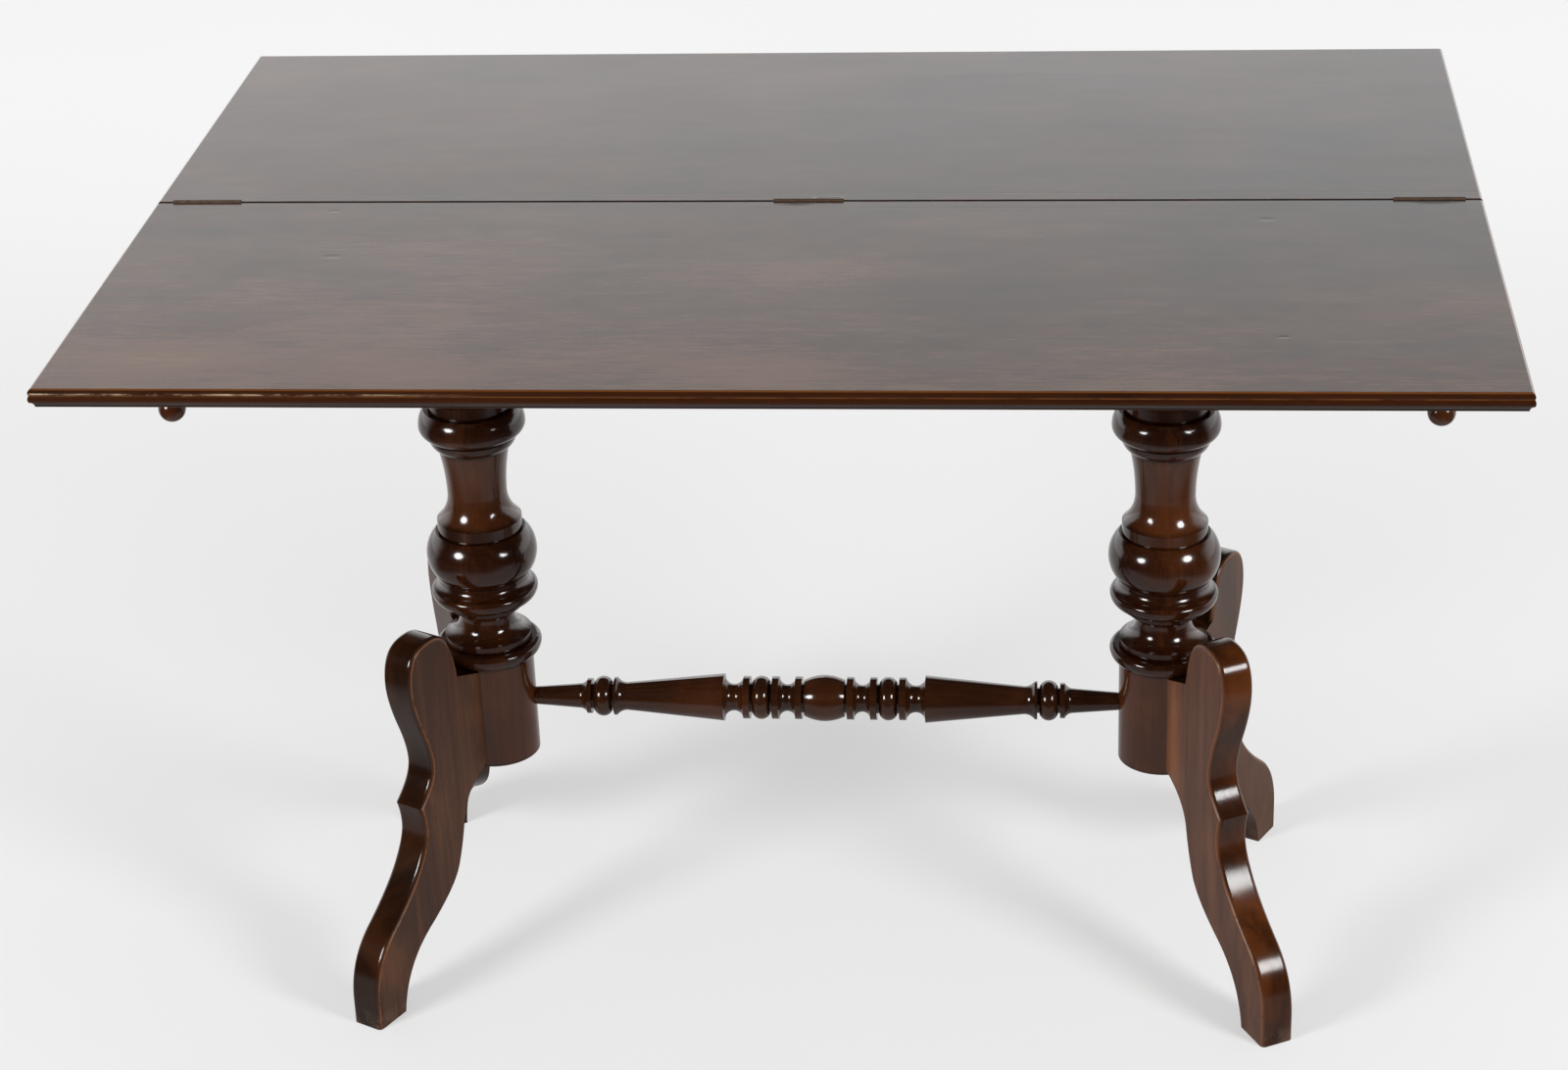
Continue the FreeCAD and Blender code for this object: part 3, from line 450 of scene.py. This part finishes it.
def leg_wood(name, angle, tones, front_tones, orange_tone):
    """Sawn board of a leg: satin sides with upright grain, glossy front, rubbed arrises."""
    material, graph = new_material(name)
    place = graph.place()
    x, y, z = graph.parts(place)
    across = (-math.sin(math.radians(angle)), math.cos(math.radians(angle)), 0.0)
    side = abs(graph.along(graph.facing(), across))
    figure, lines, pores = grain(graph, place, UPRIGHT)
    colour = wood_colour(graph, (figure, lines, pores), tones)
    patch = graph.noise(place, scale=15.0, detail=4.0, roughness=0.6, distortion=0.5,
                        stretch=(1.0, 1.0, 0.35))
    streak = graph.noise(place, scale=70.0, detail=3.0, roughness=0.6, stretch=(1.0, 1.0, 0.05))
    root = distance(abs(x) - COLUMN_X, y).band(*ROOT_RING)
    orange = patch.step(0.44, 0.74) * 0.45 + streak.step(0.46, 0.72) * 0.20
    orange = orange + root * patch.step(0.36, 0.60) * 0.6
    colour = graph.mix(orange * side, colour, orange_tone)
    front = graph.mix(patch.step(0.34, 0.72), *front_tones)
    colour = graph.mix(side.step(*FRONT_TURN), colour, front)
    worn = graph.noise(place, scale=55.0, detail=4.0, roughness=0.7)
    arris = side.band(*ARRIS_TURN) * worn.step(0.32, 0.54)
    colour = graph.mix(arris * 0.85, colour, LEG_ARRIS_COLOUR)
    pits = graph.noise(place, scale=190.0, detail=2.0, roughness=0.6)
    chips = pits.step(0.66, 0.72) * side.band(*CHIP_TURN)
    colour = graph.mix(chips * 0.8, colour, CHIP_COLOUR)
    foot = z.step(*FOOT_SOIL) * worn.step(0.40, 0.60)
    colour = graph.mix(foot * 0.5, colour, FOOT_COLOUR)
    satin = side.step(*SATIN_TURN)
    roughness = LEG_ROUGHNESS + satin * 0.28 + lines * 0.08 + chips * 0.2
    height = lines * 0.25 + pores * 0.18 + patch * 0.35 - chips * 1.2
    finish_surface(graph, {"Base Color": colour, "Roughness": roughness, "IOR": LEG_IOR,
                           "Normal": graph.bump(height, strength=0.22, distance=0.0006)})
    return material


# Frame and inner pieces: tones and least roughness of polished and of bare wood

POLISHED = ((0.020, 0.008, 0.0035), (0.045, 0.017, 0.0070), (0.085, 0.035, 0.0140))
POLISHED_ROUGHNESS = 0.22
BARE = ((0.150, 0.085, 0.045), (0.260, 0.160, 0.090), (0.360, 0.235, 0.140))
BARE_ROUGHNESS = 0.55


def plain_wood(name, axis, tones, least_roughness):
    """Rails, posts and inner pieces, with the grain along an axis."""
    material, graph = new_material(name)
    place = graph.place()
    figure, lines, pores = grain(graph, place, axis)
    colour = wood_colour(graph, (figure, lines, pores), tones)
    soil = graph.noise(place, scale=11.0, detail=4.0, roughness=0.6)
    darkest = tones[0]
    colour = graph.mix(soil.step(0.50, 0.75) * 0.4, colour, darkest)
    roughness = least_roughness + soil * 0.16 + lines * 0.08
    height = lines * 0.5 + pores * 0.4 + soil * 0.4
    finish_surface(graph, {"Base Color": colour, "Roughness": roughness, "IOR": VARNISH_IOR,
                           "Normal": graph.bump(height, strength=0.3, distance=0.0006)})
    return material


# Metal: clean colour and tarnish

BRASS_TONES = ((0.120, 0.068, 0.038), (0.045, 0.026, 0.016))
STEEL_TONES = ((0.30, 0.29, 0.28), (0.06, 0.045, 0.035))
METAL_ROUGHNESS = 0.42
CLEAN_METALLIC = 0.5


def old_metal(name, clean, tarnish):
    """Dull metal, tarnished in patches and finely scratched."""
    material, graph = new_material(name)
    place = graph.place()
    cloud = graph.noise(place, scale=130.0, detail=5.0, roughness=0.65)
    scratch = graph.noise(place, scale=2600.0, detail=2.0, roughness=0.5, stretch=(0.06, 1.0, 1.0))
    dull = cloud.step(0.38, 0.62)
    colour = graph.mix(dull * 0.85, clean, tarnish)
    metallic = CLEAN_METALLIC - dull * 0.3
    roughness = METAL_ROUGHNESS + dull * 0.22 + scratch * 0.08
    height = cloud * 0.6 + scratch * 0.4
    finish_surface(graph, {"Base Color": colour, "Metallic": metallic, "Roughness": roughness,
                           "Normal": graph.bump(height, strength=0.25, distance=0.0002)})
    return material


# Dressing the pieces


def dress(names, material):
    for name in names:
        slots = NODES[name].data.materials
        slots.clear()
        slots.append(material)


def at_corners(part):
    return [row + "_" + side + part for row in ROWS for side in SIDES]


def dress_legs():
    """A material for each leg, turned as its board is; the rear legs have the left one's tones. The left
    tones are a painted shaded copy and the right tones a painted lit copy of the same wood.
    """
    for row in ROWS:
        for side in SIDES:
            sign = -1.0 if (row == "front") == (side == "left") else 1.0
            angle = sign * LEG_ANGLE + PEDESTAL_TURN[side]
            # Painted light and shade: the front right leg takes the lit tones, the other legs the shaded
            # ones
            look = "left" if row == "rear" else side
            tones = LEG_SHADED_AND_LIT_TONES[look], FRONT_SHADED_AND_LIT_TONES[look], ORANGE_SHADED_AND_LIT_TONES[look]
            name = row + "_" + side
            dress([name + "_leg"], leg_wood("leg_wood_" + name, angle, *tones))


def dress_table():
    dress(["rear_leaf", "front_leaf"], top_wood())
    columns = turned_wood("column_wood", UPRIGHT, COLUMN_TONES, SHEEN_STRETCHES)
    dress(["left_column", "right_column"], columns)
    dress(["stretcher"], turned_wood("stretcher_wood", ACROSS, STRETCHER_TONES))
    dress(at_corners("_drop"), turned_wood("drop_wood", UPRIGHT, DROP_TONES))
    dress_legs()
    long_rails = plain_wood("rail_wood_long", ACROSS, POLISHED, POLISHED_ROUGHNESS)
    dress(["front_rail", "rear_rail"], long_rails)
    short_rails = plain_wood("rail_wood_short", DEEP, POLISHED, POLISHED_ROUGHNESS)
    dress(["left_end_rail", "right_end_rail"], short_rails)
    dress(at_corners("_post"), plain_wood("post_wood", UPRIGHT, POLISHED, POLISHED_ROUGHNESS))
    inner = [side + part for side in SIDES for part in ("_column_bearer", "_guide_bearer", "_runner")]
    dress(inner, plain_wood("inner_wood", DEEP, BARE, BARE_ROUGHNESS))
    dress(["leg_dowels"], plain_wood("dowel_wood", UPRIGHT, BARE, BARE_ROUGHNESS))
    brass = old_metal("hinge_brass", *BRASS_TONES)
    dress(["rear_hinge_plates", "front_hinge_plates", "hinge_pins"], brass)
    steel = old_metal("screw_steel", *STEEL_TONES)
    dress(["rear_hinge_screws", "front_hinge_screws", "runner_screws"], steel)


# Studio floor, in metres from the middle of the table

FLOOR_HALF = 9.0
BLACK = (0.0, 0.0, 0.0)
WHITE = (1.0, 1.0, 1.0)

# Where the paper that the polish reflects begins and is full: in front, beside and behind
FRONT_PAPER = (-1.20, -0.45)
SIDE_PAPER = (1.20, 0.75)
REAR_PAPER = (-0.10, 0.50)

# Share of the paper in front of the table that the polish shows
FRONT_PAPER_SHARE = 0.5

# Glow of the paper: everywhere, more to the far end, more behind the table, and outside the main view
PAPER_GLOW = 0.42
FAR_GLOW = 0.26
FAR_REACH = (-0.5, 3.2)
BEHIND_GLOW = 0.03
BEHIND_START = (-0.4, 0.6)
BEHIND_END = (4.0, 1.5)
BEHIND_SIDE_GLOW = 0.03
BEHIND_SIDE = (0.2, 1.2)
OUTER_GLOW = 0.78
OUTER_FRONT = (-0.6, -1.8)
OUTER_SIDE = (2.2, 4.5)

# White of the paper, its mottling, and what it loses where it is seen and where the polish shows it dark
PAPER_WHITE = 0.82
PAPER_MOTTLE = 0.04
SEEN_LOSS = 0.36
DARK_LOSS = 0.9
PAPER_ROUGHNESS = 0.9
PAPER_SHINE = 0.1


def floor_material():
    """White paper: it glows a little where it is seen, so that it stays pale far from the lamps."""
    material, graph = new_material("studio_floor")
    place = graph.place()
    parts = graph.parts(place)
    aside = abs(parts[ACROSS])
    y = parts[DEEP]
    camera, glossy = graph.rays()
    front_paper = y.step(*FRONT_PAPER) * aside.step(*SIDE_PAPER) * FRONT_PAPER_SHARE
    paper = front_paper.most(y.step(*REAR_PAPER))
    outer = camera * y.step(*OUTER_FRONT).most(aside.step(*OUTER_SIDE)) * OUTER_GLOW
    behind = y.step(*BEHIND_START) * y.step(*BEHIND_END)
    behind_glow = behind * (BEHIND_GLOW + aside.step(*BEHIND_SIDE) * BEHIND_SIDE_GLOW)
    glow = PAPER_GLOW + y.step(*FAR_REACH) * FAR_GLOW + behind_glow
    glow = ((camera + glossy * paper) * glow).most(outer)
    mottle = graph.noise(place, scale=2.0, detail=3.0, roughness=0.5)
    share = mottle * PAPER_MOTTLE + PAPER_WHITE - (camera + glossy) * SEEN_LOSS
    share = share * (1.0 - glossy * (1.0 - paper) * DARK_LOSS)
    finish_surface(graph, {"Base Color": graph.mix(share, BLACK, WHITE), "Roughness": PAPER_ROUGHNESS,
                           "Specular IOR Level": PAPER_SHINE,
                           "Emission Color": graph.mix(glow, BLACK, WHITE), "Emission Strength": 1.0})
    return material


def make_floor():
    mesh = bpy.data.meshes.new("studio_floor")
    shape = bmesh.new()
    bmesh.ops.create_grid(shape, x_segments=1, y_segments=1, size=FLOOR_HALF)
    shape.to_mesh(mesh)
    shape.free()
    floor = bpy.data.objects.new("studio_floor", mesh)
    bpy.context.scene.collection.objects.link(floor)
    mesh.materials.append(floor_material())


# Strobes: place and width of the disk in metres, power in watts, and the point that both look at

STROBES = {"strobe_left": ((-2.2, -2.0, 1.65), 0.95, 62.0),
           "strobe_right": ((2.3, -1.6, 1.75), 0.9, 56.0)}
STROBE_AIM = (0.0, 0.0, 0.45)


def make_light(name, place, size, power):
    data = bpy.data.lights.new(name, "AREA")
    data.shape = "DISK"
    data.size = size
    data.energy = power
    light = bpy.data.objects.new(name, data)
    light.location = place
    aim = Vector(STROBE_AIM) - Vector(place)
    light.rotation_euler = aim.to_track_quat("-Z", "Y").to_euler()
    bpy.context.scene.collection.objects.link(light)


# Room, by the direction looked in: how far back and how low its paper begins and is full

WALL_START = (-0.15, 0.35)
WALL_TOP = (0.54, 0.27)

# Light of the room, and what the paper adds, on matt surfaces and in the polish; light for the camera
MATT_ROOM = 0.30
MATT_PAPER = 0.55
POLISH_ROOM = 0.02
POLISH_PAPER = 1.62
CAMERA_ROOM = 0.92


def make_world():
    """White paper behind the table, a dark room in front, as the polish shows them."""
    world = bpy.data.worlds.new("studio")
    bpy.context.scene.world = world
    world.use_nodes = True
    graph = Graph(world.node_tree)
    parts = graph.parts(graph.output("ShaderNodeTexCoord", "Generated"))
    paper = parts[DEEP].step(*WALL_START) * parts[UPRIGHT].step(*WALL_TOP)
    camera, glossy = graph.rays()
    matt = paper * MATT_PAPER + MATT_ROOM
    polish = paper * POLISH_PAPER + POLISH_ROOM
    ambient = matt + (polish - matt) * glossy
    strength = ambient + (CAMERA_ROOM - ambient) * camera
    background = graph.output("ShaderNodeBackground", 0, {"Color": (*WHITE, 1.0), "Strength": strength})
    graph.make("ShaderNodeOutputWorld", {0: background})


def make_camera():
    data = bpy.data.cameras.new("camera")
    data.lens = CAMERA_LENS
    data.sensor_width = CAMERA_SENSOR
    data.sensor_fit = "HORIZONTAL"
    camera = bpy.data.objects.new("camera", data)
    yaw, pitch, roll = (math.radians(turn) for turn in (CAMERA_YAW, CAMERA_PITCH, CAMERA_ROLL))
    level = Vector((math.cos(yaw), math.sin(yaw), 0.0))
    ahead = Vector((-math.sin(yaw) * math.cos(pitch),
                    math.cos(yaw) * math.cos(pitch),
                    -math.sin(pitch)))
    lift = level.cross(ahead)
    right = level * math.cos(roll) + lift * math.sin(roll)
    up = lift * math.cos(roll) - level * math.sin(roll)
    turn = Matrix((right, up, -ahead)).transposed().to_4x4()
    camera.matrix_world = Matrix.Translation(CAMERA_PLACE) @ turn
    bpy.context.scene.collection.objects.link(camera)
    bpy.context.scene.camera = camera


dress_table()
make_floor()
for strobe, settings in STROBES.items():
    make_light(strobe, *settings)
make_world()
make_camera()
bpy.context.scene.view_settings.view_transform = "Standard"
